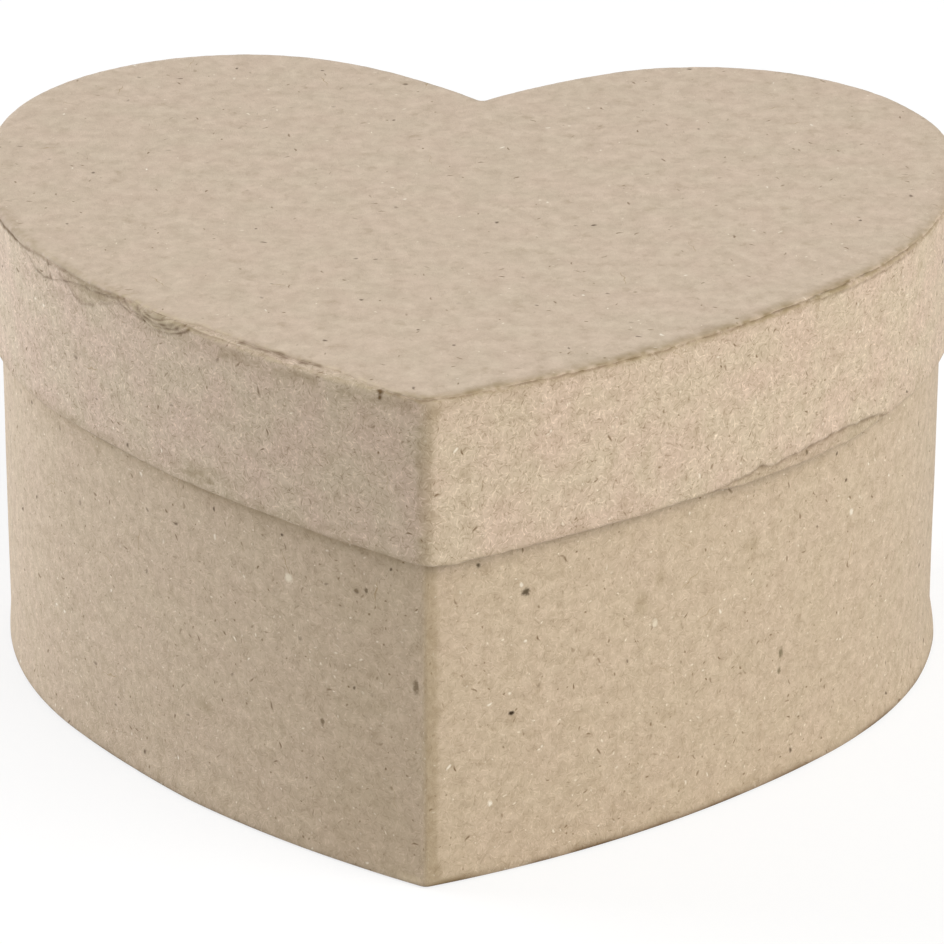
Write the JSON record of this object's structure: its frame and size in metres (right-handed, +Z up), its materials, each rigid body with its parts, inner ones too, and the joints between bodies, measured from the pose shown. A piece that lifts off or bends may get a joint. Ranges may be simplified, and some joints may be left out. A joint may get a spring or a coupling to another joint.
{
  "type": "heart-shaped gift box with lift-off lid",
  "caption": "Heart-shaped keepsake box of brown kraft papier-mache: a straight-walled tray under a close-fitting lift-off lid, plain and undecorated.",
  "frame": {"origin": "under the middle of the lid's outline, on the surface that the box stands on", "axes": "+Z up, -Y towards the heart's tip, +X to the right seen from the tip"},
  "size_m": [0.105, 0.0943, 0.0553],
  "materials": {
    "kraft_wrap": "matte recycled brown kraft",
    "kraft_lining": "matte smooth brown kraft",
    "pulp_board": "matte pressed paper pulp",
    "gummed_tape": "matte gummed kraft tape"
  },
  "bodies": {
    "tray": {"base_cover_sheet": "kraft_wrap", "base_board": "pulp_board", "tray_tip_stay": "gummed_tape", "tray_cleft_stay": "gummed_tape", "tray_wall_left": "pulp_board", "tray_wall_right": "pulp_board", "tray_wall_wrap": "kraft_wrap", "tray_wall_lining": "kraft_lining", "tray_floor_sheet": "kraft_lining"},
    "lid": {"lid_top_board": "pulp_board", "lid_tip_stay": "gummed_tape", "lid_cleft_stay": "gummed_tape", "lid_rim_left": "pulp_board", "lid_rim_right": "pulp_board", "lid_rim_wrap": "kraft_wrap", "lid_top_sheet": "kraft_wrap", "lid_underside_sheet": "kraft_lining", "lid_rim_lining": "kraft_lining"}
  },
  "joints": [
    {"name": "lid_lift", "type": "slide", "parent": "tray", "child": "lid", "axis": [0, 0, 1], "range_m": [0, 0.07]}
  ]
}
